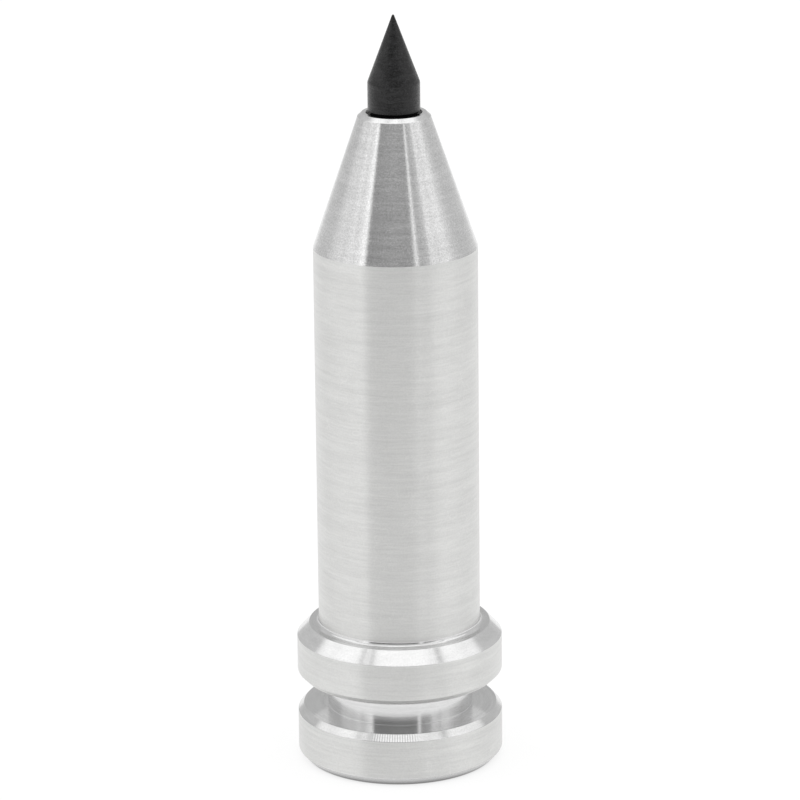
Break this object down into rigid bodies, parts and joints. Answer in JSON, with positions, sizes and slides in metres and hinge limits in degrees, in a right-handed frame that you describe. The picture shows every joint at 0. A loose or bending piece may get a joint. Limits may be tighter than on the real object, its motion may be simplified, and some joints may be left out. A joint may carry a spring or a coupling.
{
  "type": "live center",
  "caption": "Small spring-loaded live center: conical-nosed turned barrel on a double clamp flange, with a dark carbide point turning and sliding in sealed ball bearings.",
  "frame": {"origin": "centre of the base face that the housing stands on, on the turning axis", "axes": "+Z along the turning axis from the base face to the point; X and Y are any two square directions, as the part is round"},
  "size_m": [0.0146, 0.0146, 0.054],
  "materials": {
    "turned_aluminium": "fine turned, bright, unpainted",
    "carbide": "matte dark grey, as sintered and ground",
    "ground_steel": "ground",
    "bearing_steel": "polished",
    "cage_brass": "satin",
    "spring_steel": "drawn wire",
    "seal_rubber": "matte",
    "black_steel": "black oxide"
  },
  "bodies": {
    "housing": {"housing": "turned_aluminium", "nose_seal": "seal_rubber", "front_bearing_outer_ring": "bearing_steel", "front_bearing_nose_side_shield": "bearing_steel", "front_bearing_base_side_shield": "bearing_steel", "outer_spacer_sleeve": "turned_aluminium", "rear_bearing_outer_ring": "bearing_steel", "rear_bearing_nose_side_shield": "bearing_steel", "rear_bearing_base_side_shield": "bearing_steel", "retaining_ring": "black_steel", "preload_spring": "spring_steel", "rear_plug": "black_steel"},
    "plunger": {"spring_seat": "ground_steel", "thrust_housing_washer": "bearing_steel"},
    "spindle": {"spindle": "ground_steel", "centre_point": "carbide", "thrust_shaft_washer": "bearing_steel"},
    "inner_races": {"front_bearing_inner_ring": "bearing_steel", "inner_spacer_sleeve": "ground_steel", "rear_bearing_inner_ring": "bearing_steel"},
    "front_ball_set": {"front_bearing_cage": "cage_brass", "front_bearing_ball_1": "bearing_steel", "front_bearing_ball_2": "bearing_steel", "front_bearing_ball_3": "bearing_steel", "front_bearing_ball_4": "bearing_steel", "front_bearing_ball_5": "bearing_steel", "front_bearing_ball_6": "bearing_steel", "front_bearing_ball_7": "bearing_steel"},
    "rear_ball_set": {"rear_bearing_cage": "cage_brass", "rear_bearing_ball_1": "bearing_steel", "rear_bearing_ball_2": "bearing_steel", "rear_bearing_ball_3": "bearing_steel", "rear_bearing_ball_4": "bearing_steel", "rear_bearing_ball_5": "bearing_steel", "rear_bearing_ball_6": "bearing_steel", "rear_bearing_ball_7": "bearing_steel"},
    "thrust_ball_set": {"thrust_cage": "cage_brass", "thrust_ball_1": "bearing_steel", "thrust_ball_2": "bearing_steel", "thrust_ball_3": "bearing_steel", "thrust_ball_4": "bearing_steel", "thrust_ball_5": "bearing_steel", "thrust_ball_6": "bearing_steel", "thrust_ball_7": "bearing_steel", "thrust_ball_8": "bearing_steel"}
  },
  "joints": [
    {"name": "point_plunge", "type": "slide", "parent": "housing", "child": "plunger", "axis": [0, 0, 1], "range_m": [-0.0006, 0], "stiffness_N_per_m": 2500, "springref_m": 0.00002, "deforming": ["preload_spring"]},
    {"name": "spindle_spin", "type": "hinge", "parent": "plunger", "child": "spindle", "pos_m": [0, 0, 0.0165], "axis": [0, 0, 1], "continuous": true},
    {"name": "inner_race_spin", "type": "hinge", "parent": "housing", "child": "inner_races", "pos_m": [0, 0, 0.026], "axis": [0, 0, 1], "continuous": true},
    {"name": "front_cage_spin", "type": "hinge", "parent": "housing", "child": "front_ball_set", "pos_m": [0, 0, 0.0349], "axis": [0, 0, 1], "continuous": true},
    {"name": "rear_cage_spin", "type": "hinge", "parent": "housing", "child": "rear_ball_set", "pos_m": [0, 0, 0.018], "axis": [0, 0, 1], "continuous": true},
    {"name": "thrust_cage_spin", "type": "hinge", "parent": "plunger", "child": "thrust_ball_set", "pos_m": [0, 0, 0.01355], "axis": [0, 0, 1], "continuous": true}
  ],
  "couplings": [
    {"joint": "inner_race_spin", "follows": "spindle_spin", "ratio": 1},
    {"joint": "front_cage_spin", "follows": "spindle_spin", "ratio": 0.3727},
    {"joint": "rear_cage_spin", "follows": "spindle_spin", "ratio": 0.3727},
    {"joint": "thrust_cage_spin", "follows": "spindle_spin", "ratio": 0.5}
  ]
}
